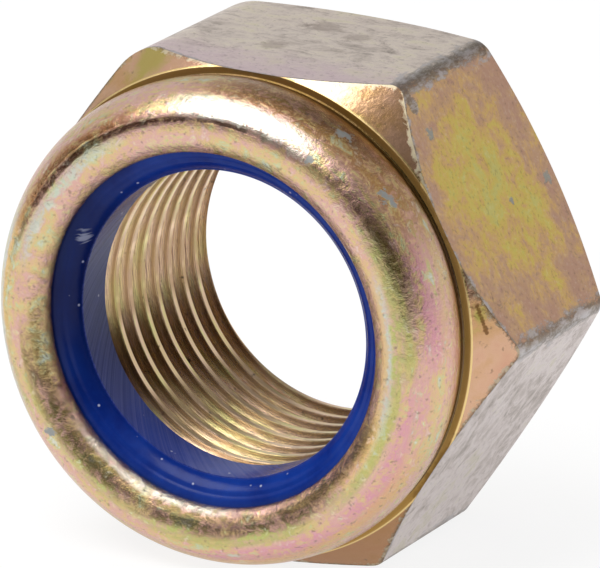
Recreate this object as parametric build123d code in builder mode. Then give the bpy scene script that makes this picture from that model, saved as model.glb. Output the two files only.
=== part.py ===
from build123d import *
import os
from math import acos, asin, cos, degrees, hypot, radians, sin, tan

# Nylon insert lock nut, 7/8-14 UNF, on a 1-1/4 in hexagon. Millimetres.
#
# The nut lies on one of its six flats, on z = 0. Its axis is level and runs along Y:
# the bearing face looks to +Y and the collar, with the nylon ring in it, to -Y.
# The origin is under the middle of the nut.
#
# Two pieces: the forged steel body, and the nylon ring that its collar holds.
# The thread is a plain bore at the minor diameter, where the crests of the thread lie.

# ---- hexagon ----
ACROSS_FLATS = 31.75            # 1-1/4 in spanner size
EDGE_RADIUS = 0.8               # rounding of the six long edges
HEX_HEIGHT = 16.3               # from the bearing face to the ledge under the collar
BEARING_INSET = 0.65            # the bearing face ends this far inside the flats
BEARING_CHAMFER_ANGLE = 29.5    # between the bearing face and the corner chamfer
LEDGE_OVERHANG = 0.12           # the ledge's rim stands this far outside the flats
SHOULDER_CHAMFER_ANGLE = 49.0   # the steeper chamfer on the collar side

# ---- bore ----
BORE_RADIUS = 10.3              # minor radius of the 7/8-14 thread
COUNTERSINK_DEPTH = 1.3         # 45 degree lead-in at the bearing face
LEAD_OUT_DEPTH = 0.7            # 45 degree lead-out under the ring

# ---- nylon ring ----
RING_GRIP = 0.3                 # how far the ring stands inside the thread's crests
RING_WIDTH = 3.25               # bore to outer wall
RING_HEIGHT = 4.25
RING_CORNER_CHAMFER = 1.0       # outer corner, under the rolled lip
RING_SLOPE_WIDTH = 1.75         # how far the rounded inner edge reaches outwards
RING_SLOPE_HEIGHT = 1.05        # how far it falls towards the bore
RING_SLOPE_BULGE = 0.26         # how far it stands out of a straight bevel, half way
RING_CLEARANCE = 0.03           # between the ring and the metal beside and over it

# ---- collar ----
SEAT_DEPTH = 0.5                # the ring's seat lies this far below the ledge
COLLAR_WALL = 2.5               # from the ring's seat out to the collar's widest circle
LIP_THICKNESS = 1.5             # over the ring, at the crest
LIP_REACH = 1.73                # how far the lip is rolled in over the ring
LIP_EDGE_BREAK = 0.35           # 45 degree break on the lip's inner edge
SIDE_ROUNDING = 4.4             # radius of the collar's outer side
CREST_ROUNDING = 2.0            # tighter radius over the crest, down to the lip
CREST_WIDTH = 2.6               # from the crest out to the widest circle
NECK_BREAK = 0.3                # filled corner where the collar meets the ledge

# ---- places worked out from the sizes above ----
half_flats = ACROSS_FLATS / 2
corner_radius = half_flats / cos(radians(30))
seat_height = HEX_HEIGHT - SEAT_DEPTH
ring_top = seat_height + RING_HEIGHT
ring_bore_radius = BORE_RADIUS - RING_GRIP
ring_outer_radius = ring_bore_radius + RING_WIDTH
seat_radius = ring_outer_radius + RING_CLEARANCE
seat_ceiling = ring_top + RING_CLEARANCE
lip_radius = seat_radius - LIP_REACH
collar_radius = seat_radius + COLLAR_WALL
overall_height = seat_ceiling + LIP_THICKNESS
half_height = overall_height / 2

# Every section is drawn in this plane: x is the distance from the nut's axis and y the
# height above the bearing face. The hexagon is drawn square to it, on the bearing face.
section_plane = Plane(origin=(0, half_height, half_flats), x_dir=(1, 0, 0), z_dir=(0, 0, -1))
hexagon_plane = Plane(origin=(0, half_height, half_flats), x_dir=(1, 0, 0), z_dir=(0, -1, 0))
nut_axis = Axis(origin=(0, half_height, half_flats), direction=(0, -1, 0))


def point_on_arc(centre, radius, angle):
    """Point of a section, on an arc, at an angle in degrees from the outward direction."""
    return (centre[0] + radius * cos(radians(angle)), centre[1] + radius * sin(radians(angle)))


def nearest_corner(sketch, corner):
    """The vertex of a section that lies closest to a point of it."""
    return sketch.vertices().sort_by_distance(corner)[0]


# ---- nut_body: hexagon, corner chamfers and rolled collar, forged in one ----
blank_radius = corner_radius + 1        # the turned outline runs out past the corners
bearing_edge = half_flats - BEARING_INSET
ledge_edge = half_flats + LEDGE_OVERHANG
bearing_rise = (blank_radius - bearing_edge) * tan(radians(BEARING_CHAMFER_ANGLE))
shoulder_fall = (blank_radius - ledge_edge) * tan(radians(SHOULDER_CHAMFER_ANGLE))

# The collar's outline is two arcs that run into each other: the side, then the crest.
rounding_step = SIDE_ROUNDING - CREST_ROUNDING
meeting_angle = degrees(acos((SIDE_ROUNDING - CREST_WIDTH) / rounding_step))
crest_centre = (collar_radius - CREST_WIDTH, overall_height - CREST_ROUNDING)
side_centre = (
    collar_radius - SIDE_ROUNDING,
    crest_centre[1] - rounding_step * sin(radians(meeting_angle)),
)
neck_angle = -degrees(asin((side_centre[1] - HEX_HEIGHT) / SIDE_ROUNDING))
lip_angle = degrees(acos((lip_radius - crest_centre[0]) / CREST_ROUNDING))
neck_corner = point_on_arc(side_centre, SIDE_ROUNDING, neck_angle)
lip_corner = point_on_arc(crest_centre, CREST_ROUNDING, lip_angle)
seat_corner = (seat_radius, seat_ceiling)

# The blank is hexagonal up to the ledge and round above it.
with BuildPart() as blank:
    with BuildSketch(hexagon_plane) as hexagon:
        RegularPolygon(half_flats, 6, major_radius=False)
        fillet(hexagon.vertices(), EDGE_RADIUS)
    extrude(amount=HEX_HEIGHT)
    with BuildSketch(hexagon_plane.offset(HEX_HEIGHT)):
        Circle(blank_radius)
    extrude(amount=overall_height - HEX_HEIGHT)

with BuildPart() as nut_body:
    with BuildSketch(section_plane) as body_section:
        with BuildLine():
            hexagon_side = Polyline(
                (BORE_RADIUS, COUNTERSINK_DEPTH),
                (BORE_RADIUS + COUNTERSINK_DEPTH, 0),
                (bearing_edge, 0),
                (blank_radius, bearing_rise),
                (blank_radius, HEX_HEIGHT - shoulder_fall),
                (ledge_edge, HEX_HEIGHT),
                neck_corner,
            )
            collar_side = CenterArc(
                side_centre, SIDE_ROUNDING, neck_angle, meeting_angle - neck_angle
            )
            collar_crest = CenterArc(
                crest_centre, CREST_ROUNDING, meeting_angle, lip_angle - meeting_angle
            )
            ring_seat = Polyline(
                lip_corner,
                (lip_radius, seat_ceiling),
                seat_corner,
                (seat_radius, seat_height),
                (BORE_RADIUS + LEAD_OUT_DEPTH, seat_height),
                (BORE_RADIUS, seat_height - LEAD_OUT_DEPTH),
                (BORE_RADIUS, COUNTERSINK_DEPTH),
            )
        make_face()
        chamfer(nearest_corner(body_section, neck_corner), NECK_BREAK)
        chamfer(nearest_corner(body_section, lip_corner), LIP_EDGE_BREAK)
        chamfer(nearest_corner(body_section, seat_corner), RING_CORNER_CHAMFER)
    revolve(axis=nut_axis)

    add(blank.part, mode=Mode.INTERSECT)

# ---- nylon_ring: sits on the seat's floor, its inner edge rounded towards the bore ----
slope_start = (ring_bore_radius, ring_top - RING_SLOPE_HEIGHT)
slope_end = (ring_bore_radius + RING_SLOPE_WIDTH, ring_top)
slope_length = hypot(RING_SLOPE_WIDTH, RING_SLOPE_HEIGHT)
slope_middle = (
    (slope_start[0] + slope_end[0]) / 2 - RING_SLOPE_BULGE * RING_SLOPE_HEIGHT / slope_length,
    (slope_start[1] + slope_end[1]) / 2 + RING_SLOPE_BULGE * RING_SLOPE_WIDTH / slope_length,
)
ring_corner = (ring_outer_radius, ring_top)

with BuildPart() as nylon_ring:
    with BuildSketch(section_plane) as ring_section:
        with BuildLine():
            Polyline(
                slope_end,
                slope_middle,
                slope_start,
                (ring_bore_radius, seat_height),
                (ring_outer_radius, seat_height),
                ring_corner,
                slope_end,
            )
        make_face()
        chamfer(nearest_corner(ring_section, ring_corner), RING_CORNER_CHAMFER)
    revolve(axis=nut_axis)

# ---- export ----
nut_body.part.label = "nut_body"
nylon_ring.part.label = "nylon_ring"

os.makedirs("parts", exist_ok=True)
for piece in (nut_body, nylon_ring):
    export_step(piece.part, f"parts/{piece.part.label}.step")
    box = piece.part.bounding_box()
    print(f"{piece.part.label}: volume {piece.part.volume:.1f} mm3, size {box.size}")
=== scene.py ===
from math import cos, pi, radians, sin, tan

import bpy
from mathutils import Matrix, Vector


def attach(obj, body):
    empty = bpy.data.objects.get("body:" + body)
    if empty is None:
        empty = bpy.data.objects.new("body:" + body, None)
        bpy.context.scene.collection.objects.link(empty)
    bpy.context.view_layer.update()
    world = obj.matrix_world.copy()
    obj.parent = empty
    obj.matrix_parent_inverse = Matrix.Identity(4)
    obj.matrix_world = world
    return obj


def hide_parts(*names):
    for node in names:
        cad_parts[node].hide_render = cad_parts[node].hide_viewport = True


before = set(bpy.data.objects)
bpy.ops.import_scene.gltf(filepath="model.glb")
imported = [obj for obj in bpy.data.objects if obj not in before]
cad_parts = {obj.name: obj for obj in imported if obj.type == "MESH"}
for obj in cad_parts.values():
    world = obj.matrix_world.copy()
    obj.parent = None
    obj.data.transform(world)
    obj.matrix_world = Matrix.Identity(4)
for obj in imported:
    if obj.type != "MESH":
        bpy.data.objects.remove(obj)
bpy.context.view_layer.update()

# ---- nut body: forging, collar and thread ----
# Forged steel, 31.75 mm across its flats, chamfered at both ends, with a thin round collar
# rolled in over a nylon ring. It lies on one flat, its axis level along Y, and its bearing
# face looks to +Y. The bore has a 7/8-14 thread. Heights are taken from the bearing face.
MM = 0.001
half_height = 10.79
axis_height = 15.875
pitch = 25.4 / 14
bore = 10.3
lead_in = 1.3
blank = 19.3
ledge = 16.3
seat = 13.28
seat_floor = 15.8


def arc(centre, radius, start, end, steps):
    """Points along an arc of a section, with angles in degrees from the outward side."""
    turns = [radians(start + (end - start) * i / steps) for i in range(steps + 1)]
    return [(centre[0] + radius * cos(a), centre[1] + radius * sin(a)) for a in turns]


def select_only(piece):
    """Makes one object the selected and the active one."""
    bpy.ops.object.select_all(action="DESELECT")
    piece.select_set(True)
    bpy.context.view_layer.objects.active = piece


def apply_modifier(piece, kind, **settings):
    """Adds one modifier with its settings and applies it."""
    modifier = piece.modifiers.new(kind.lower(), kind)
    for key, value in settings.items():
        setattr(modifier, key, value)
    select_only(piece)
    bpy.ops.object.modifier_apply(modifier=modifier.name)


def turned(name, section, steps):
    """Spins a closed section, in mm of radius and height, round the nut's axis."""
    bpy.ops.mesh.primitive_circle_add(vertices=len(section), radius=MM)
    piece = bpy.context.object
    piece.name = name
    for vertex, (radius, height) in zip(piece.data.vertices, section):
        place = Vector((radius, half_height - height, axis_height)) * MM
        vertex.co = place - piece.location
    bpy.ops.object.mode_set(mode="EDIT")
    bpy.ops.mesh.select_all(action="SELECT")
    bpy.ops.mesh.spin(
        steps=steps, angle=2 * pi, center=(0, 0, axis_height * MM), axis=(0, 1, 0)
    )
    bpy.ops.mesh.select_all(action="SELECT")
    bpy.ops.mesh.remove_doubles(threshold=0.002 * MM)
    bpy.ops.mesh.normals_make_consistent(inside=False)
    bpy.ops.object.mode_set(mode="OBJECT")
    return piece


# section of the turned blank, as radius and height: the bore with its lead-in, the bearing
# face, the corner chamfers, the ledge round the collar's foot, the collar, and the ring's seat
bpy.ops.object.select_all(action="DESELECT")
body_section = [
    (bore, seat_floor - 0.7),
    (bore, lead_in),
    (bore + lead_in, 0.0),
    (13.4, 0.0),
    (15.1, 0.0),
    (15.24, 0.04),
    (15.34, 0.12),
    (16.5, 0.72),
    (blank, 2.3),
    (blank, 12.5),
    (17.6, 14.455),
    (16.08, ledge - 0.1),
    (15.99, ledge - 0.02),
    (15.9, ledge),
    (15.72, ledge),
    (15.6, 16.33),
    (15.52, 16.42),
    (15.49, 16.55),
    (15.52, 16.7),
]
body_section += arc((11.38, 17.993), 4.4, -14, 38, 12)
body_section += arc((13.18, 19.58), 2.0, 43, 67, 6)
body_section += arc((13.18, 19.57), 2.0, 70, 140, 17)
body_section += [(11.59, 20.73), (11.55, 20.6), (11.54, 20.42), (11.55, 20.25), (11.6, 20.1)]
body_section += [(seat - 1.0, 20.08), (seat, 19.08), (seat, seat_floor), (11.0, seat_floor)]
nut = turned("nut_body_plated", body_section, 360)

# the tap's path: one groove with a slightly ridged root, cut as a right-hand helix. It would
# start beyond the collar's end, but is spared three turns that only pass through air.
groove = [
    (10.12, -0.80),
    (10.98, -0.31),
    (11.10, -0.19),
    (10.94, 0.0),
    (11.10, 0.19),
    (10.98, 0.31),
    (10.12, 0.80),
]
overrun = 3.0
spared = 3 * pitch
bpy.ops.object.select_all(action="DESELECT")
bpy.ops.mesh.primitive_circle_add(
    vertices=len(groove), radius=MM, fill_type="NGON", location=(0, 0, axis_height * MM)
)
tap = bpy.context.object
tap.name = "tap"
for vertex, (radius, height) in zip(tap.data.vertices, groove):
    vertex.co = Vector((radius, height - half_height - overrun + spared, 0)) * MM
apply_modifier(
    tap,
    "SCREW",
    axis="Y",
    angle=2 * pi,
    screw_offset=pitch * MM,
    iterations=12,
    steps=120,
    render_steps=120,
    use_merge_vertices=False,
    use_normal_calculate=True,
)
bpy.ops.object.transform_apply(location=True, rotation=True, scale=True)
bpy.ops.object.mode_set(mode="EDIT")
bpy.ops.mesh.select_all(action="SELECT")
bpy.ops.mesh.remove_doubles(threshold=0.001 * MM)
bpy.ops.mesh.fill_holes(sides=0)
bpy.ops.mesh.normals_make_consistent(inside=False)
bpy.ops.object.mode_set(mode="OBJECT")
apply_modifier(nut, "BOOLEAN", object=tap, operation="DIFFERENCE", solver="EXACT")
bpy.data.objects.remove(tap)

# the hexagon: the turned blank is cut by a prism, whose long edges are rounded, one of
# them more than the rest, where the forging did not fill its die. Corners are in degrees
# from straight up toward +X.
corner_radius = axis_height / cos(pi / 6)
bpy.ops.object.select_all(action="DESELECT")
bpy.ops.mesh.primitive_cylinder_add(
    vertices=6,
    radius=corner_radius * MM,
    depth=40 * MM,
    rotation=(pi / 2, pi / 6, 0),
    location=(0, 0, axis_height * MM),
)
prism = bpy.context.object
prism.name = "prism"
bpy.ops.object.transform_apply(location=True, rotation=True, scale=True)
for corner, rounding in ((-30, 3.4), (30, 1.1), (90, 0.8), (150, 0.9), (210, 1.2), (270, 0.8)):
    place = Vector((sin(radians(corner)), 0, cos(radians(corner)))) * corner_radius
    place = (place + Vector((0, 0, axis_height))) * MM
    bpy.ops.object.mode_set(mode="EDIT")
    bpy.ops.mesh.select_all(action="DESELECT")
    bpy.ops.mesh.select_mode(type="EDGE")
    bpy.ops.object.mode_set(mode="OBJECT")
    for edge in prism.data.edges:
        ends = [prism.data.vertices[i].co for i in edge.vertices]
        if all(Vector((e.x - place.x, e.z - place.z)).length < 0.1 * MM for e in ends):
            edge.select = True
    bpy.ops.object.mode_set(mode="EDIT")
    bpy.ops.mesh.bevel(offset=rounding * tan(pi / 6) * MM, segments=8, affect="EDGES")
    bpy.ops.object.mode_set(mode="OBJECT")
apply_modifier(nut, "BOOLEAN", object=prism, operation="INTERSECT", solver="EXACT")
bpy.data.objects.remove(prism)

# the cuts leave points a hair apart, which are merged, and any edge still open is closed
select_only(nut)
bpy.ops.object.mode_set(mode="EDIT")
bpy.ops.mesh.select_all(action="SELECT")
bpy.ops.mesh.remove_doubles(threshold=0.003 * MM)
bpy.ops.mesh.dissolve_degenerate(threshold=0.001 * MM)
bpy.ops.mesh.select_all(action="DESELECT")
bpy.ops.mesh.select_non_manifold()
bpy.ops.mesh.fill_holes(sides=0)
bpy.ops.mesh.select_all(action="SELECT")
bpy.ops.mesh.normals_make_consistent(inside=False)
bpy.ops.object.mode_set(mode="OBJECT")
bpy.ops.object.shade_smooth_by_angle(angle=radians(24))

# ---- nut body: finish ----
# Bright zinc under a thin yellow chromate film, whose thickness gives it gold, pink, green
# and lilac. The forged flats are dull and grainy, the turned faces and the thread bright,
# and the rolled collar lies between. A noise of 0.5 / MM has half a grain to the millimetre.


def linear(hex_colour):
    """sRGB hex to the linear colour that a socket takes."""
    parts = [int(hex_colour[i : i + 2], 16) / 255 for i in (1, 3, 5)]
    return [p / 12.92 if p <= 0.04045 else ((p + 0.055) / 1.055) ** 2.4 for p in parts] + [1]


def add(tree, kind, links=None, stops=(), **settings):
    """Adds one node: its settings, what its inputs take by name or number, a ramp's stops."""
    node = tree.nodes.new(kind)
    for key, value in settings.items():
        setattr(node, key, value)
    for key, value in (links or {}).items():
        if isinstance(value, bpy.types.NodeSocket):
            tree.links.new(value, node.inputs[key])
        else:
            node.inputs[key].default_value = value
    if stops:
        elements = node.color_ramp.elements
        while len(elements) < len(stops):
            elements.new(0.5)
        for element, (place, colour) in zip(elements, stops):
            element.position = place
            element.color = linear(colour)
    return node


def finish(name):
    """An empty material, with a point's place, way out from the axis, radius and height."""
    material = bpy.data.materials.new(name)
    material.use_nodes = True
    tree = material.node_tree
    tree.nodes.clear()
    spot = add(tree, "ShaderNodeTexCoord").outputs["Object"]
    centred = add(
        tree, "ShaderNodeVectorMath", {0: spot, 1: (0, -half_height * MM, -axis_height * MM)}
    ).outputs[0]
    flat = add(
        tree, "ShaderNodeVectorMath", {0: centred, 1: (1, 0, 1)}, operation="MULTIPLY"
    ).outputs[0]
    radius = add(tree, "ShaderNodeVectorMath", {0: flat}, operation="LENGTH").outputs["Value"]
    outward = add(tree, "ShaderNodeVectorMath", {0: flat}, operation="NORMALIZE").outputs[0]
    split = add(tree, "ShaderNodeSeparateXYZ", {0: centred})
    height = add(
        tree, "ShaderNodeMath", {0: split.outputs["Y"], 1: -1.0}, operation="MULTIPLY"
    ).outputs[0]
    return material, tree, spot, outward, radius, height


def patches(tree, spot, crumb, places, ragged):
    """A mask that is 1 at each place, x, y, z and size in mm, with an edge broken by noise."""
    mask = None
    for x, y, z, size in places:
        far = add(
            tree,
            "ShaderNodeVectorMath",
            {0: spot, 1: (x * MM, y * MM, z * MM)},
            operation="DISTANCE",
        ).outputs["Value"]
        far = add(
            tree,
            "ShaderNodeMath",
            {0: crumb, 1: ragged * size * MM, 2: far},
            operation="MULTIPLY_ADD",
        ).outputs[0]
        near = (0.5 * ragged + 0.55) * size * MM
        beyond = (0.5 * ragged + 1.0) * size * MM
        one = add(
            tree, "ShaderNodeMapRange", {0: far, 1: near, 2: beyond, 3: 1.0, 4: 0.0}
        ).outputs[0]
        if mask is not None:
            one = add(tree, "ShaderNodeMath", {0: mask, 1: one}, operation="MAXIMUM").outputs[0]
        mask = one
    return mask


def arcs(tree, radius, outward, crumb, places, ragged):
    """A mask of arcs round the axis: middle angle, half angle, radius and half width in mm."""
    mask = None
    for angle, spread, middle, width in places:
        off = add(
            tree, "ShaderNodeMath", {0: crumb, 1: ragged * MM, 2: radius}, operation="MULTIPLY_ADD"
        ).outputs[0]
        off = add(
            tree,
            "ShaderNodeMath",
            {0: off, 1: (middle + 0.5 * ragged) * MM},
            operation="SUBTRACT",
        ).outputs[0]
        off = add(tree, "ShaderNodeMath", {0: off}, operation="ABSOLUTE").outputs[0]
        band = add(
            tree,
            "ShaderNodeMapRange",
            {0: off, 1: 0.4 * width * MM, 2: width * MM, 3: 1.0, 4: 0.0},
        ).outputs[0]
        way = (sin(radians(angle)), 0, cos(radians(angle)))
        toward = add(
            tree, "ShaderNodeVectorMath", {0: outward, 1: way}, operation="DOT_PRODUCT"
        ).outputs["Value"]
        span = {0: toward, 1: cos(radians(spread)), 2: cos(radians(0.6 * spread)), 3: 0.0, 4: 1.0}
        span = add(tree, "ShaderNodeMapRange", span).outputs[0]
        one = add(tree, "ShaderNodeMath", {0: band, 1: span}, operation="MULTIPLY").outputs[0]
        if mask is not None:
            one = add(tree, "ShaderNodeMath", {0: mask, 1: one}, operation="MAXIMUM").outputs[0]
        mask = one
    return mask


# forged flats: dull and mottled. The film is golden on one flat and pale on the one below it,
# and grey scale shows through it along the edges. A flat reaches 30 degrees either side of its
# middle, whose cosine is 0.866.
top_flat = (0, 0, 1)
gold_flat = (0.866, 0, 0.5)
pale_flat = (0.866, 0, -0.5)
flats_finish, tree, spot, outward, radius, height = finish("forged_zinc_flats")
broad = add(
    tree,
    "ShaderNodeTexNoise",
    {"Vector": spot, "Scale": 0.17 / MM, "Detail": 5, "Roughness": 0.65},
).outputs[0]
pulled = add(
    tree, "ShaderNodeVectorMath", {0: spot, 1: (0.55, 1.0, 1.0)}, operation="MULTIPLY"
).outputs[0]
streaks = add(
    tree,
    "ShaderNodeTexNoise",
    {"Vector": pulled, "Scale": 0.7 / MM, "Detail": 8, "Roughness": 0.72, "Distortion": 0.8},
).outputs[0]
mottle = add(
    tree,
    "ShaderNodeTexNoise",
    {"Vector": spot, "Scale": 0.52 / MM, "Detail": 7, "Roughness": 0.72, "Distortion": 0.4},
).outputs[0]
grit = add(
    tree, "ShaderNodeTexNoise", {"Vector": spot, "Scale": 3.2 / MM, "Detail": 3, "Roughness": 0.6}
).outputs[0]
rolled = add(
    tree, "ShaderNodeVectorMath", {0: spot, 1: (1.0, 0.36, 1.0)}, operation="MULTIPLY"
).outputs[0]
flakes = add(
    tree,
    "ShaderNodeTexNoise",
    {"Vector": rolled, "Scale": 1.5 / MM, "Detail": 5, "Roughness": 0.7},
).outputs[0]
thickness = add(
    tree, "ShaderNodeMath", {0: streaks, 1: 1.2, 2: broad}, operation="MULTIPLY_ADD"
).outputs[0]
thickness = add(
    tree, "ShaderNodeMapRange", {0: thickness, 1: 0.8, 2: 1.4, 3: 0.0, 4: 1.0}
).outputs[0]
dull = add(
    tree,
    "ShaderNodeValToRGB",
    {0: thickness},
    stops=[
        (0.05, "#a99f94"),
        (0.25, "#cabfb2"),
        (0.48, "#e5d9cd"),
        (0.66, "#ece1d0"),
        (0.88, "#e8dfc2"),
    ],
).outputs[0]
front = add(
    tree, "ShaderNodeMath", {0: mottle, 1: 9 * MM, 2: height}, operation="MULTIPLY_ADD"
).outputs[0]
front = add(
    tree, "ShaderNodeMapRange", {0: front, 1: 14.8 * MM, 2: 19.0 * MM, 3: 0.1, 4: 0.7}
).outputs[0]
dull = add(
    tree, "ShaderNodeMix", {0: front, 6: dull, 7: linear("#dec7d0")}, data_type="RGBA"
).outputs[2]
middle = add(
    tree,
    "ShaderNodeVectorMath",
    {0: spot, 1: (13.2 * MM, 2.6 * MM, 24.4 * MM)},
    operation="DISTANCE",
).outputs["Value"]
middle = add(
    tree, "ShaderNodeMapRange", {0: middle, 1: 2.5 * MM, 2: 8.0 * MM, 3: 0.23, 4: -0.25}
).outputs[0]
film = add(
    tree, "ShaderNodeMath", {0: mottle, 1: 1.6, 2: broad}, operation="MULTIPLY_ADD"
).outputs[0]
film = add(
    tree, "ShaderNodeMapRange", {0: film, 1: 0.9, 2: 1.7, 3: 0.0, 4: 1.0}
).outputs[0]
middle = add(tree, "ShaderNodeMath", {0: middle, 1: film}, operation="ADD").outputs[0]
gold = add(
    tree,
    "ShaderNodeValToRGB",
    {0: middle},
    stops=[
        (0.1, "#c79e86"),
        (0.3, "#cea784"),
        (0.44, "#dab27c"),
        (0.58, "#dcbd6c"),
        (0.72, "#dbc566"),
        (0.9, "#d3c978"),
    ],
).outputs[0]
pale = add(
    tree,
    "ShaderNodeValToRGB",
    {0: thickness},
    stops=[
        (0.05, "#b3a9a3"),
        (0.3, "#cbc0bb"),
        (0.48, "#dbd0cd"),
        (0.62, "#e2d8d6"),
        (0.85, "#d6cdbe"),
    ],
).outputs[0]
toward_gold = add(
    tree, "ShaderNodeVectorMath", {0: outward, 1: gold_flat}, operation="DOT_PRODUCT"
).outputs["Value"]
gold_side = add(
    tree, "ShaderNodeMapRange", {0: toward_gold, 1: 0.86, 2: 0.872, 3: 0.0, 4: 1.0}
).outputs[0]
toward_pale = add(
    tree, "ShaderNodeVectorMath", {0: outward, 1: pale_flat}, operation="DOT_PRODUCT"
).outputs["Value"]
pale_side = add(
    tree, "ShaderNodeMapRange", {0: toward_pale, 1: 0.86, 2: 0.872, 3: 0.0, 4: 1.0}
).outputs[0]
colour = add(
    tree, "ShaderNodeMix", {0: gold_side, 6: dull, 7: gold}, data_type="RGBA"
).outputs[2]
edge = add(
    tree, "ShaderNodeMapRange", {0: radius, 1: 17.6 * MM, 2: 18.15 * MM, 3: -0.25, 4: 0.12}
).outputs[0]
rim = add(
    tree, "ShaderNodeMath", {0: radius, 1: 1.15, 2: height}, operation="MULTIPLY_ADD"
).outputs[0]
rim = add(
    tree, "ShaderNodeMapRange", {0: rim, 1: 34.15 * MM, 2: 34.65 * MM, 3: -0.25, 4: 0.12}
).outputs[0]
edge = add(tree, "ShaderNodeMath", {0: edge, 1: rim}, operation="MAXIMUM").outputs[0]
corner = patches(
    tree,
    spot,
    flakes,
    [
        (9.5, -2.9, 31.2, 0.8),
        (9.9, -2.5, 30.4, 0.8),
        (9.3, 1.2, 31.6, 0.6),
        (9.3, 4.6, 31.6, 0.6),
        (9.3, 8.4, 31.6, 0.8),
        (16.6, -2.6, 14.6, 0.5),
    ],
    3.0,
)
corner = add(tree, "ShaderNodeMapRange", {0: corner, 3: -0.25, 4: 0.14}).outputs[0]
edge = add(tree, "ShaderNodeMath", {0: edge, 1: corner}, operation="MAXIMUM").outputs[0]
edge = add(tree, "ShaderNodeMath", {0: edge, 1: flakes}, operation="ADD").outputs[0]
edge = add(
    tree, "ShaderNodeMapRange", {0: edge, 1: 0.44, 2: 0.56, 3: 0.0, 4: 0.8}
).outputs[0]
scale_colour = add(
    tree,
    "ShaderNodeValToRGB",
    {0: flakes},
    stops=[(0.38, "#5c5145"), (0.48, "#857c72"), (0.6, "#bdb9bb")],
).outputs[0]
specks = add(
    tree, "ShaderNodeMapRange", {0: grit, 1: 0.31, 2: 0.43, 3: 0.3, 4: 0.0}
).outputs[0]
grains = add(
    tree, "ShaderNodeMapRange", {0: grit, 1: 0.56, 2: 0.7, 3: 0.0, 4: 0.16}
).outputs[0]
creases = add(
    tree, "ShaderNodeMapRange", {0: streaks, 1: 0.3, 2: 0.37, 3: 0.4, 4: 0.0}
).outputs[0]
bruises = patches(
    tree,
    spot,
    mottle,
    [(-0.8, 6.4, 31.75, 1.5), (2.2, 5.4, 31.75, 1.0), (-1.6, 0.9, 31.75, 0.9)],
    4.0,
)
bruises = add(tree, "ShaderNodeMath", {0: bruises, 1: 0.38}, operation="MULTIPLY").outputs[0]
nicks = patches(
    tree,
    spot,
    grit,
    [(14.02, 3.87, 23.34, 0.25), (13.89, 9.3, 23.57, 0.5), (10.9, -2.05, 28.74, 0.45)],
    3.0,
)
for mask, tint in (
    (pale_side, pale),
    (edge, scale_colour),
    (specks, linear("#6a6052")),
    (grains, linear("#f4ecd6")),
    (creases, linear("#6f6459")),
    (bruises, linear("#8d7a6e")),
    (nicks, linear("#a7a49a")),
):
    colour = add(
        tree, "ShaderNodeMix", {0: mask, 6: colour, 7: tint}, data_type="RGBA"
    ).outputs[2]
relief = add(
    tree, "ShaderNodeMath", {0: mottle, 1: 1.2, 2: grit}, operation="MULTIPLY_ADD"
).outputs[0]
relief = add(
    tree, "ShaderNodeMath", {0: nicks, 1: -1.5, 2: relief}, operation="MULTIPLY_ADD"
).outputs[0]
fine = add(
    tree, "ShaderNodeBump", {"Strength": 0.38, "Distance": 0.07 * MM, "Height": relief}
).outputs[0]
wavy = add(
    tree,
    "ShaderNodeBump",
    {"Strength": 0.35, "Distance": 0.4 * MM, "Height": broad, "Normal": fine},
).outputs[0]
dullness = add(
    tree, "ShaderNodeMapRange", {0: streaks, 1: 0.35, 2: 0.65, 3: 0.52, 4: 0.4}
).outputs[0]
shader = add(
    tree,
    "ShaderNodeBsdfPrincipled",
    {"Base Color": colour, "Metallic": 1.0, "Roughness": dullness, "Normal": wavy},
)
add(tree, "ShaderNodeOutputMaterial", {"Surface": shader.outputs[0]})

# turned faces: smooth, pink-orange, with fine pits; the film is worn off or broken where
# they meet the flats, with a painted highlight on the worn edge's upper side. Painted shade
# browns the corner under the collar and darkens the lower chamfer, a painted highlight runs
# round the ledge's outer edge, and oil has run down at one place
turned_finish, tree, spot, outward, radius, height = finish("turned_zinc_faces")
mottle = add(
    tree, "ShaderNodeTexNoise", {"Vector": spot, "Scale": 0.24 / MM, "Detail": 5, "Roughness": 0.6}
).outputs[0]
grit = add(
    tree, "ShaderNodeTexNoise", {"Vector": spot, "Scale": 2.0 / MM, "Detail": 4, "Roughness": 0.6}
).outputs[0]
colour = add(
    tree,
    "ShaderNodeValToRGB",
    {0: mottle},
    stops=[(0.26, "#b3ab58"), (0.38, "#cda274"), (0.52, "#d8ae90"), (0.68, "#d3a187")],
).outputs[0]
# painted shade: the lower chamfer, toward the floor, is browner and darker
lower = add(
    tree, "ShaderNodeVectorMath", {0: outward, 1: (0.5, 0, -0.866)}, operation="DOT_PRODUCT"
).outputs["Value"]
lower = add(
    tree, "ShaderNodeMapRange", {0: lower, 1: 0.8, 2: 0.92, 3: 0.0, 4: 0.7}
).outputs[0]
green = patches(tree, spot, mottle, [(-7.6, -4.2, 31.0, 1.9)], 2.5)
green = add(tree, "ShaderNodeMath", {0: green, 1: 0.7}, operation="MULTIPLY").outputs[0]
run = [part / 9 for part in range(10)]
run = [(16.1 + 0.54 * way, -5.05 + 0.37 * way, 19.1 - 1.75 * way, 0.17) for way in run]
run = patches(tree, spot, grit, run, 2.2)
run = add(tree, "ShaderNodeMath", {0: run, 1: 0.8}, operation="MULTIPLY").outputs[0]
specks = add(
    tree, "ShaderNodeMapRange", {0: grit, 1: 0.29, 2: 0.36, 3: 0.6, 4: 0.0}
).outputs[0]

# how far out a point lies, measured square to the flat that it is nearest
reach = None
for side in (top_flat, gold_flat, pale_flat):
    out = add(
        tree, "ShaderNodeVectorMath", {0: outward, 1: side}, operation="DOT_PRODUCT"
    ).outputs["Value"]
    out = add(tree, "ShaderNodeMath", {0: out}, operation="ABSOLUTE").outputs[0]
    if reach is not None:
        out = add(tree, "ShaderNodeMath", {0: reach, 1: out}, operation="MAXIMUM").outputs[0]
    reach = out
reach = add(tree, "ShaderNodeMath", {0: reach, 1: radius}, operation="MULTIPLY").outputs[0]

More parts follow.
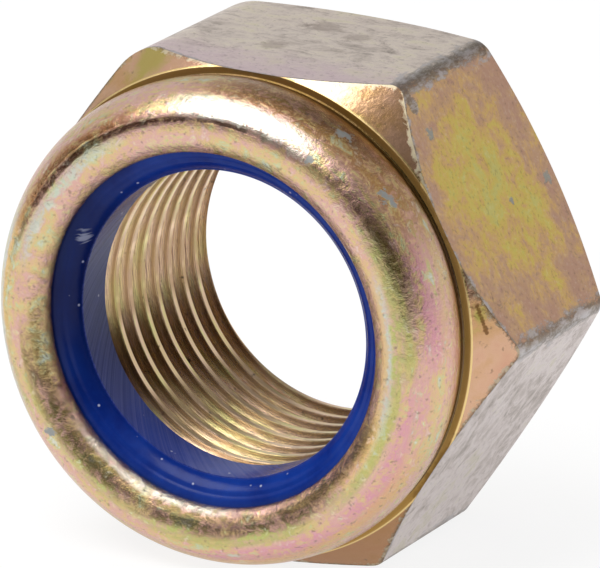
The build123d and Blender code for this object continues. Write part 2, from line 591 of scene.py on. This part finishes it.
worn = add(
    tree, "ShaderNodeMath", {0: grit, 1: 0.9 * MM, 2: reach}, operation="MULTIPLY_ADD"
).outputs[0]
worn = add(
    tree, "ShaderNodeMapRange", {0: worn, 1: 16.12 * MM, 2: 16.26 * MM, 3: 0.0, 4: 0.85}
).outputs[0]
# painted highlight: on the upper side the worn edge is near-white rather than grey
painted_highlight_side = add(
    tree, "ShaderNodeVectorMath", {0: outward, 1: (0.44, 0, 0.9)}, operation="DOT_PRODUCT"
).outputs["Value"]
painted_highlight_side = add(
    tree, "ShaderNodeMapRange", {0: painted_highlight_side, 1: 0.72, 2: 0.9, 3: 0.0, 4: 1.0}
).outputs[0]
broken = add(
    tree,
    "ShaderNodeValToRGB",
    {0: grit},
    stops=[(0.4, "#5d4a38"), (0.5, "#877763"), (0.6, "#c3b79f")],
).outputs[0]
broken = add(
    tree, "ShaderNodeMix", {0: painted_highlight_side, 6: broken, 7: linear("#f4e9c8")}, data_type="RGBA"
).outputs[2]
# painted shade: the corner under the collar is brown, and darker toward the top
neck_shade = add(
    tree, "ShaderNodeMapRange", {0: radius, 1: 15.96 * MM, 2: 16.06 * MM, 3: 0.9, 4: 0.0}
).outputs[0]
high = add(
    tree, "ShaderNodeMapRange", {0: height, 1: 16.0 * MM, 2: 16.2 * MM, 3: 0.0, 4: 1.0}
).outputs[0]
neck_shade = add(tree, "ShaderNodeMath", {0: neck_shade, 1: high}, operation="MULTIPLY").outputs[0]
above = add(
    tree, "ShaderNodeVectorMath", {0: outward, 1: (-0.2, 0, 0.98)}, operation="DOT_PRODUCT"
).outputs["Value"]
above = add(
    tree, "ShaderNodeMapRange", {0: above, 1: 0.3, 2: 0.8, 3: 0.0, 4: 1.0}
).outputs[0]
neck_shade_colour = add(
    tree,
    "ShaderNodeMix",
    {0: above, 6: linear("#c29d58"), 7: linear("#86662e")},
    data_type="RGBA",
).outputs[2]
# painted highlight: a thin bright line round the ledge's outer edge, under the collar
lit = add(
    tree, "ShaderNodeMath", {0: radius, 1: 16.05 * MM, 2: 0.05 * MM}, operation="COMPARE"
).outputs[0]
lit = add(tree, "ShaderNodeMath", {0: lit, 1: high}, operation="MULTIPLY").outputs[0]
for mask, tint in (
    (lower, linear("#a67a50")),
    (green, linear("#b3ac4c")),
    (run, linear("#6a4522")),
    (specks, linear("#86705a")),
    (worn, broken),
    (neck_shade, neck_shade_colour),
    (lit, linear("#f0d292")),
):
    colour = add(
        tree, "ShaderNodeMix", {0: mask, 6: colour, 7: tint}, data_type="RGBA"
    ).outputs[2]
fine = add(
    tree, "ShaderNodeBump", {"Strength": 0.35, "Distance": 0.05 * MM, "Height": grit}
).outputs[0]
broad = add(
    tree,
    "ShaderNodeBump",
    {"Strength": 0.3, "Distance": 0.15 * MM, "Height": mottle, "Normal": fine},
).outputs[0]
dullness = add(tree, "ShaderNodeMapRange", {0: worn, 3: 0.2, 4: 0.5}).outputs[0]
dullness = add(
    tree, "ShaderNodeMath", {0: neck_shade, 1: 0.4, 2: dullness}, operation="MULTIPLY_ADD"
).outputs[0]
shader = add(
    tree,
    "ShaderNodeBsdfPrincipled",
    {"Base Color": colour, "Metallic": 1.0, "Roughness": dullness, "Normal": broad},
)
add(tree, "ShaderNodeOutputMaterial", {"Surface": shader.outputs[0]})

# rolled collar: the film is thick and thin in streaks that run round it, the rolling has
# left a crease, the lip is torn and crumbly, and grey chips show where it was knocked.
# Painted shade darkens the crease, the collar's foot and the slope near the lip, a painted
# reflection darkens the outer shoulder at the top, and painted highlights whiten the shoulder
# at the top and the lip's inner edge.
# The streaks have 2.2 grains to a radian round the axis and 0.65 to the millimetre across.
collar_finish, tree, spot, outward, radius, height = finish("rolled_zinc_collar")
around = add(
    tree, "ShaderNodeVectorMath", {0: outward, 3: 2.2}, operation="SCALE"
).outputs[0]
across = add(
    tree, "ShaderNodeMath", {0: radius, 1: height}, operation="SUBTRACT"
).outputs[0]
across = add(tree, "ShaderNodeMath", {0: across, 1: 0.65 / MM}, operation="MULTIPLY").outputs[0]
bands = add(
    tree,
    "ShaderNodeTexNoise",
    {"Vector": around, "W": across, "Scale": 1.0, "Detail": 6, "Roughness": 0.66},
    noise_dimensions="4D",
).outputs[0]
mottle = add(
    tree,
    "ShaderNodeTexNoise",
    {"Vector": spot, "Scale": 1.2 / MM, "Detail": 7, "Roughness": 0.74, "Distortion": 0.5},
).outputs[0]
grit = add(
    tree, "ShaderNodeTexNoise", {"Vector": spot, "Scale": 2.6 / MM, "Detail": 4, "Roughness": 0.6}
).outputs[0]
thickness = add(
    tree, "ShaderNodeMath", {0: bands, 1: 1.5, 2: mottle}, operation="MULTIPLY_ADD"
).outputs[0]
thickness = add(
    tree, "ShaderNodeMapRange", {0: thickness, 1: 0.92, 2: 1.58, 3: 0.0, 4: 1.0}
).outputs[0]
colour = add(
    tree,
    "ShaderNodeValToRGB",
    {0: thickness},
    stops=[
        (0.02, "#cfd4c0"),
        (0.16, "#d3cc9c"),
        (0.3, "#e0c48e"),
        (0.44, "#e0bc9a"),
        (0.56, "#dfb1a9"),
        (0.64, "#e0baa8"),
        (0.74, "#e2c59a"),
        (0.86, "#cec98f"),
        (0.98, "#d2d6c4"),
    ],
).outputs[0]
broken = add(tree, "ShaderNodeMath", {0: bands, 1: mottle}, operation="ADD").outputs[0]
broken = add(tree, "ShaderNodeMath", {0: broken, 1: 0.5}, operation="MULTIPLY").outputs[0]
patchy = add(
    tree, "ShaderNodeMapRange", {0: mottle, 1: 0.42, 2: 0.54, 3: 0.4, 4: 1.0}
).outputs[0]
crease = [(-27, 56, 13.9, 0.28)]

# each tint, of the film and of painted shade, reflection and highlight, with its strength, how
# ragged its edge is, and its arcs
tints = [
    ("#db92b0", 0.62, 2.6, [(116, 27, 14.7, 0.7), (160, 26, 14.6, 0.7), (74, 18, 15.3, 0.4)]),
    ("#b6bd6a", 0.75, 2.6, [(72, 24, 13.9, 0.85), (108, 34, 13.5, 0.55), (168, 30, 13.5, 0.5)]),
    ("#b9bb6c", 0.6, 2.6, [(-140, 36, 13.3, 0.55), (-102, 24, 14.3, 0.45)]),
    ("#c9d5c8", 0.8, 2.4, [(-54, 28, 13.2, 0.5), (-95, 34, 15.0, 0.6), (86, 26, 12.9, 0.5)]),
    ("#e6bb72", 0.7, 2.6, [(98, 44, 12.6, 0.4), (-80, 26, 14.3, 0.4), (165, 60, 15.2, 0.4)]),
    ("#b4773f", 0.85, 2.4, [(-46, 28, 14.45, 0.55)]),
    # painted reflection: dark brown on the outer shoulder at the top, mirroring dark surroundings
    ("#a0733c", 0.85, 2.0, [(26, 40, 15.65, 0.75)]),
    # painted shade: dark olive bands on the slope near the lip
    ("#64532a", 0.8, 3.0, [(-128, 34, 12.8, 0.6), (168, 40, 12.9, 0.5), (128, 24, 12.3, 0.5)]),
    ("#8f7a45", 0.8, 2.0, [(-126, 40, 12.15, 0.4), (170, 40, 12.2, 0.3)]),
    # painted highlight: near-white on the shoulder at the top
    ("#f6f1e6", 0.95, 2.0, [(8, 22, 14.5, 0.8)]),
    # bright torn zinc at the lip's inner edge, whitened further by a painted highlight
    ("#f1ead8", 0.95, 1.6, [(-160, 34, 11.65, 0.4)]),
    # painted shade: a dark line along the crease
    ("#57331f", 0.95, 1.0, crease),
]
for tint, strength, ragged, places in tints:
    mask = arcs(tree, radius, outward, broken, places, ragged)
    mask = add(tree, "ShaderNodeMath", {0: mask, 1: strength}, operation="MULTIPLY").outputs[0]
    mask = add(tree, "ShaderNodeMath", {0: mask, 1: patchy}, operation="MULTIPLY").outputs[0]
    colour = add(
        tree, "ShaderNodeMix", {0: mask, 6: colour, 7: linear(tint)}, data_type="RGBA"
    ).outputs[2]
pale_grains = add(
    tree, "ShaderNodeMapRange", {0: mottle, 1: 0.56, 2: 0.66, 3: 0.0, 4: 0.4}
).outputs[0]
specks = add(
    tree, "ShaderNodeMapRange", {0: grit, 1: 0.31, 2: 0.41, 3: 0.5, 4: 0.0}
).outputs[0]
crease = arcs(tree, radius, outward, broken, crease, 1.0)
chips = patches(
    tree,
    spot,
    grit,
    [
        (7.57, -7.91, 29.65, 0.5),
        (7.9, -7.8, 29.4, 0.4),
        (11.25, -8.9, 26.44, 0.45),
        (11.7, -8.7, 26.0, 0.35),
        (6.76, -10.5, 28.37, 0.35),
        (-10.62, -10.76, 7.57, 0.4),
    ],
    4.0,
)
# painted shade: dark brown at the collar's foot, in the neck
neck_shade = add(
    tree, "ShaderNodeMapRange", {0: height, 1: 16.8 * MM, 2: 17.3 * MM, 3: 0.9, 4: 0.0}
).outputs[0]
for mask, tint in (
    (pale_grains, linear("#ece2cf")),
    (specks, linear("#7a6c58")),
    (chips, linear("#a9aaa8")),
    (neck_shade, linear("#5b4823")),
):
    colour = add(
        tree, "ShaderNodeMix", {0: mask, 6: colour, 7: tint}, data_type="RGBA"
    ).outputs[2]
torn = add(
    tree, "ShaderNodeMapRange", {0: radius, 1: 11.9 * MM, 2: 12.6 * MM, 3: 0.8, 4: 0.32}
).outputs[0]
fine = add(
    tree, "ShaderNodeBump", {"Strength": torn, "Distance": 0.07 * MM, "Height": grit}
).outputs[0]
broad = add(
    tree,
    "ShaderNodeBump",
    {"Strength": torn, "Distance": 0.18 * MM, "Height": mottle, "Normal": fine},
).outputs[0]
groove = add(
    tree,
    "ShaderNodeBump",
    {"Strength": 0.4, "Distance": 0.1 * MM, "Height": crease, "Normal": broad},
    invert=True,
).outputs[0]
dullness = add(
    tree, "ShaderNodeMapRange", {0: chips, 3: 0.24, 4: 0.5}
).outputs[0]
shader = add(
    tree,
    "ShaderNodeBsdfPrincipled",
    {"Base Color": colour, "Metallic": 1.0, "Roughness": dullness, "Normal": groove},
)
add(tree, "ShaderNodeOutputMaterial", {"Surface": shader.outputs[0]})

# thread: bright tan and gold, with the tap's fine lines along the groove, darker along
# some of those lines and in a band just off the crests. Bands have 2.5 grains to a radian and
# 1.6 to the millimetre of height; the tap's lines are 14 to the millimetre of depth.
thread_finish, tree, spot, outward, radius, height = finish("tapped_zinc_thread")
around = add(
    tree, "ShaderNodeVectorMath", {0: outward, 3: 2.5}, operation="SCALE"
).outputs[0]
across = add(tree, "ShaderNodeMath", {0: height, 1: 1.6 / MM}, operation="MULTIPLY").outputs[0]
bands = add(
    tree,
    "ShaderNodeTexNoise",
    {"Vector": around, "W": across, "Scale": 1.0, "Detail": 4, "Roughness": 0.6},
    noise_dimensions="4D",
).outputs[0]
deep = add(tree, "ShaderNodeMath", {0: radius, 1: 14 / MM}, operation="MULTIPLY").outputs[0]
lines = add(
    tree,
    "ShaderNodeTexNoise",
    {"Vector": around, "W": deep, "Scale": 1.0, "Detail": 3, "Roughness": 0.6},
    noise_dimensions="4D",
).outputs[0]
grit = add(
    tree, "ShaderNodeTexNoise", {"Vector": spot, "Scale": 1.5 / MM, "Detail": 3, "Roughness": 0.6}
).outputs[0]
colour = add(
    tree,
    "ShaderNodeValToRGB",
    {0: bands},
    stops=[(0.32, "#e2d994"), (0.45, "#e7cb9c"), (0.56, "#ebcaac"), (0.68, "#e7db9e")],
).outputs[0]
below = add(
    tree, "ShaderNodeMapRange", {0: radius, 1: 10.33 * MM, 2: 10.4 * MM, 3: 0.0, 4: 1.0}
).outputs[0]
above = add(
    tree, "ShaderNodeMapRange", {0: radius, 1: 10.5 * MM, 2: 10.75 * MM, 3: 0.75, 4: 0.0}
).outputs[0]
dark_marks = add(tree, "ShaderNodeMath", {0: below, 1: above}, operation="MULTIPLY").outputs[0]
streak = add(
    tree, "ShaderNodeMapRange", {0: lines, 1: 0.36, 2: 0.5, 3: 0.6, 4: 0.0}
).outputs[0]
dark_marks = add(tree, "ShaderNodeMath", {0: dark_marks, 1: streak}, operation="MAXIMUM").outputs[0]
specks = add(
    tree, "ShaderNodeMapRange", {0: grit, 1: 0.27, 2: 0.33, 3: 0.8, 4: 0.0}
).outputs[0]
for mask, tint in (
    (dark_marks, linear("#8a6238")),
    (specks, linear("#4b3424")),
):
    colour = add(
        tree, "ShaderNodeMix", {0: mask, 6: colour, 7: tint}, data_type="RGBA"
    ).outputs[2]
relief = add(
    tree, "ShaderNodeMath", {0: lines, 1: 1.5, 2: bands}, operation="MULTIPLY_ADD"
).outputs[0]
fine = add(
    tree, "ShaderNodeBump", {"Strength": 0.5, "Distance": 0.05 * MM, "Height": relief}
).outputs[0]
shader = add(
    tree,
    "ShaderNodeBsdfPrincipled",
    {"Base Color": colour, "Metallic": 1.0, "Roughness": 0.22, "Normal": fine},
)
add(tree, "ShaderNodeOutputMaterial", {"Surface": shader.outputs[0]})

# each face takes the finish of its place: thread, collar, flat, or else turned
nut.data.materials.clear()
for material in (flats_finish, turned_finish, collar_finish, thread_finish):
    nut.data.materials.append(material)
for face in nut.data.polygons:
    radius = Vector((face.center.x, face.center.z - axis_height * MM)).length / MM
    height = half_height - face.center.y / MM
    if radius < bore + 1.0 and height < seat_floor - 0.05:
        face.material_index = 3
    elif height > ledge + 0.02:
        face.material_index = 2
    elif abs(face.normal.y) < 0.05 and radius > 15.5:
        face.material_index = 0
    else:
        face.material_index = 1
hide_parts("nut_body")
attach(nut, "root")

# ---- nylon ring ----
# Blue nylon, moulded, held in the collar by the rolled lip. A fine groove runs round its
# rounded shoulder.
grip = 10.0
wall = 13.25
shoulder = (11.9, 18.07)
ring_section = [(wall, 19.05), (wall, seat_floor), (grip + 0.1, seat_floor)]
ring_section += [(grip, seat_floor + 0.1), (grip, 18.85)]
ring_section += arc(shoulder, 1.98, 157, 124, 7)
ring_section += arc(shoulder, 1.93, 121, 117, 1)
ring_section += arc(shoulder, 1.98, 114, 96, 4)
ring_section += [(12.2, 20.05)]
ring = turned("nylon_ring_moulded", ring_section, 240)
select_only(ring)
bpy.ops.object.shade_smooth_by_angle(angle=radians(30))

# moulded nylon: deep blue and glossy, with slanted rub marks on its bore and white dust. The
# marks are 30 to a radian, and lean 0.09 radian for each millimetre of height.
nylon_finish, tree, spot, outward, radius, height = finish("moulded_nylon")
cloud = add(
    tree, "ShaderNodeTexNoise", {"Vector": spot, "Scale": 0.26 / MM, "Detail": 5, "Roughness": 0.6}
).outputs[0]
colour = add(
    tree,
    "ShaderNodeValToRGB",
    {0: cloud},
    stops=[(0.35, "#0d297f"), (0.65, "#193f9f")],
).outputs[0]
shaded = add(
    tree, "ShaderNodeVectorMath", {0: outward, 1: (-1.0, 0, 0.1)}, operation="DOT_PRODUCT"
).outputs["Value"]
shaded = add(
    tree, "ShaderNodeMapRange", {0: shaded, 1: 0.6, 2: 0.95, 3: 0.0, 4: 0.75}
).outputs[0]
twist = add(tree, "ShaderNodeMath", {0: height, 1: 0.09 / MM}, operation="MULTIPLY").outputs[0]
slanted = add(
    tree,
    "ShaderNodeVectorRotate",
    {"Vector": outward, "Angle": twist},
    rotation_type="Y_AXIS",
).outputs[0]
slanted = add(
    tree, "ShaderNodeVectorMath", {0: slanted, 3: 30.0}, operation="SCALE"
).outputs[0]
rubs = add(
    tree,
    "ShaderNodeTexNoise",
    {"Vector": slanted, "W": height, "Scale": 1.0, "Detail": 6, "Roughness": 0.78},
    noise_dimensions="4D",
).outputs[0]
bore_wall = add(
    tree, "ShaderNodeMapRange", {0: radius, 1: 10.02 * MM, 2: 10.12 * MM, 3: 1.0, 4: 0.0}
).outputs[0]
rubbed = add(
    tree, "ShaderNodeMapRange", {0: rubs, 1: 0.44, 2: 0.62, 3: 0.25, 4: 0.9}
).outputs[0]
rubbed = add(
    tree, "ShaderNodeMath", {0: rubbed, 1: bore_wall}, operation="MULTIPLY"
).outputs[0]
flecks = add(
    tree, "ShaderNodeTexVoronoi", {"Vector": spot, "Scale": 0.85 / MM, "Randomness": 1.0}
)
small = add(
    tree, "ShaderNodeMapRange", {0: flecks.outputs["Distance"], 1: 0.04, 2: 0.09, 3: 1.0, 4: 0.0}
).outputs[0]
chosen = add(
    tree, "ShaderNodeMapRange", {0: flecks.outputs["Color"], 1: 0.45, 2: 0.5, 3: 0.0, 4: 1.0}
).outputs[0]
dust = add(tree, "ShaderNodeMath", {0: small, 1: chosen}, operation="MULTIPLY").outputs[0]
scrape = patches(
    tree, spot, rubs, [(-9.67, -8.73, 20.1, 0.5), (-9.3, -8.8, 19.4, 0.35)], 6.0
)
scrape = add(tree, "ShaderNodeMath", {0: scrape, 1: 0.6}, operation="MULTIPLY").outputs[0]
dust = add(tree, "ShaderNodeMath", {0: dust, 1: scrape}, operation="MAXIMUM").outputs[0]
for mask, tint in (
    (shaded, linear("#06154c")),
    (rubbed, linear("#4f5aa6")),
    (dust, linear("#b9c0dc")),
):
    colour = add(
        tree, "ShaderNodeMix", {0: mask, 6: colour, 7: tint}, data_type="RGBA"
    ).outputs[2]
fine = add(
    tree, "ShaderNodeBump", {"Strength": 0.3, "Distance": 0.05 * MM, "Height": rubs}
).outputs[0]
wavy = add(
    tree,
    "ShaderNodeBump",
    {"Strength": 0.5, "Distance": 0.12 * MM, "Height": cloud, "Normal": fine},
).outputs[0]
shader = add(
    tree,
    "ShaderNodeBsdfPrincipled",
    {
        "Base Color": colour,
        "Roughness": 0.18,
        "IOR": 1.53,
        "Specular IOR Level": 0.14,
        "Normal": wavy,
    },
)
add(tree, "ShaderNodeOutputMaterial", {"Surface": shader.outputs[0]})
ring.data.materials.clear()
ring.data.materials.append(nylon_finish)
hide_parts("nylon_ring")
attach(ring, "root")

# ---- studio ----
# A long lens looks at the collar, 27 degrees to one side of the nut's axis and 17 degrees
# down. The nut lies on a white sheet that keeps its shadow.
camera_data = bpy.data.cameras.new("camera")
camera = bpy.data.objects.new("camera", camera_data)
bpy.context.collection.objects.link(camera)
camera.location = (0.22591, -0.457188, 0.175863)
camera.rotation_euler = (1.267612, -0.037855, 0.468523)
camera_data.sensor_width = 36
camera_data.lens = 504.2
camera_data.clip_start = 0.01
camera_data.clip_end = 50
bpy.context.scene.camera = camera
bpy.context.scene.view_settings.view_transform = "Standard"

bpy.ops.object.select_all(action="DESELECT")
bpy.ops.mesh.primitive_plane_add(size=4)
floor = bpy.context.object
floor.name = "floor"
sheet = bpy.data.materials.new("white_sweep")
sheet.use_nodes = True
tree = sheet.node_tree
tree.nodes.clear()
path = add(tree, "ShaderNodeLightPath")
paper = add(tree, "ShaderNodeBsdfDiffuse", {"Color": linear("#f2f2f2")})
glow = add(tree, "ShaderNodeEmission", {"Color": linear("#ffffff"), "Strength": 1.06})
mixed = add(
    tree, "ShaderNodeMixShader", {0: 0.8, 1: paper.outputs[0], 2: glow.outputs[0]}
)
mirrored = add(
    tree, "ShaderNodeMath", {0: path.outputs["Is Glossy Ray"], 1: 0.75}, operation="MULTIPLY"
).outputs[0]
shown = add(
    tree,
    "ShaderNodeMath",
    {0: path.outputs["Is Camera Ray"], 1: mirrored},
    operation="MAXIMUM",
).outputs[0]
seen = add(
    tree, "ShaderNodeMixShader", {0: shown, 1: paper.outputs[0], 2: mixed.outputs[0]}
)
add(tree, "ShaderNodeOutputMaterial", {"Surface": seen.outputs[0]})
floor.data.materials.append(sheet)

# what the metal mirrors: light grey walls over a white table, and on the collar's side a dark
# zone between the table and the ceiling, which goes higher toward +X and is faint at one place.
# A second dark patch is high at the back.
world = bpy.data.worlds.new("studio")
bpy.context.scene.world = world
world.use_nodes = True
tree = world.node_tree
tree.nodes.clear()
path = add(tree, "ShaderNodeLightPath")
look = add(tree, "ShaderNodeTexCoord").outputs["Generated"]
split = add(tree, "ShaderNodeSeparateXYZ", {0: look})
table = add(
    tree, "ShaderNodeMapRange", {0: split.outputs["Z"], 1: -0.06, 2: 0.04, 3: 0.0, 4: 1.0}
).outputs[0]
lean = add(
    tree,
    "ShaderNodeMath",
    {0: split.outputs["X"], 1: -0.25, 2: split.outputs["Z"]},
    operation="MULTIPLY_ADD",
).outputs[0]
ceiling = add(
    tree, "ShaderNodeMapRange", {0: lean, 1: 0.5, 2: 0.62, 3: 1.0, 4: 0.0}
).outputs[0]
right = add(
    tree, "ShaderNodeMapRange", {0: split.outputs["X"], 1: 0.12, 2: 0.4, 3: 0.0, 4: 0.7}
).outputs[0]
ceiling = add(tree, "ShaderNodeMath", {0: ceiling, 1: right}, operation="MAXIMUM").outputs[0]
lean = add(
    tree,
    "ShaderNodeMath",
    {0: split.outputs["X"], 1: 0.1, 2: split.outputs["Y"]},
    operation="MULTIPLY_ADD",
).outputs[0]
front = add(
    tree, "ShaderNodeMapRange", {0: lean, 1: -0.08, 2: 0.0, 3: 1.0, 4: 0.0}
).outputs[0]
dark = add(tree, "ShaderNodeMath", {0: table, 1: ceiling}, operation="MULTIPLY").outputs[0]
dark = add(tree, "ShaderNodeMath", {0: dark, 1: front}, operation="MULTIPLY").outputs[0]
gap = add(
    tree, "ShaderNodeVectorMath", {0: look, 1: (-0.33, -0.92, 0.2)}, operation="DOT_PRODUCT"
).outputs["Value"]
gap = add(
    tree, "ShaderNodeMapRange", {0: gap, 1: 0.92, 2: 0.97, 3: 1.0, 4: 0.35}
).outputs[0]
dark = add(tree, "ShaderNodeMath", {0: dark, 1: gap}, operation="MULTIPLY").outputs[0]
back = add(
    tree, "ShaderNodeVectorMath", {0: look, 1: (0.02, 0.68, 0.73)}, operation="DOT_PRODUCT"
).outputs["Value"]
back = add(
    tree, "ShaderNodeMapRange", {0: back, 1: 0.88, 2: 0.96, 3: 0.0, 4: 0.8}
).outputs[0]
dark = add(tree, "ShaderNodeMath", {0: dark, 1: back}, operation="MAXIMUM").outputs[0]
walls = add(
    tree,
    "ShaderNodeMix",
    {0: table, 6: linear("#f4f4f4"), 7: linear("#dadada")},
    data_type="RGBA",
).outputs[2]
walls = add(
    tree,
    "ShaderNodeMix",
    {0: dark, 6: walls, 7: linear("#392f1f")},
    data_type="RGBA",
).outputs[2]
shown = add(
    tree,
    "ShaderNodeMix",
    {0: path.outputs["Is Camera Ray"], 6: walls, 7: (1, 1, 1, 1)},
    data_type="RGBA",
)
room = add(tree, "ShaderNodeBackground", {"Color": shown.outputs[2], "Strength": 1.0})
add(tree, "ShaderNodeOutputWorld", {"Surface": room.outputs[0]})

# one soft light above, toward the collar and -X
lamp_data = bpy.data.lights.new("overhead", "AREA")
lamp_data.shape = "RECTANGLE"
lamp_data.size = 0.38
lamp_data.size_y = 0.33
lamp_data.energy = 1.65
lamp = bpy.data.objects.new("overhead", lamp_data)
bpy.context.collection.objects.link(lamp)
lamp.location = (-0.1414, -0.181, 0.461)
aim = Vector((0, 0, 0.016))
lamp.rotation_euler = (aim - lamp.location).to_track_quat("-Z", "Y").to_euler()
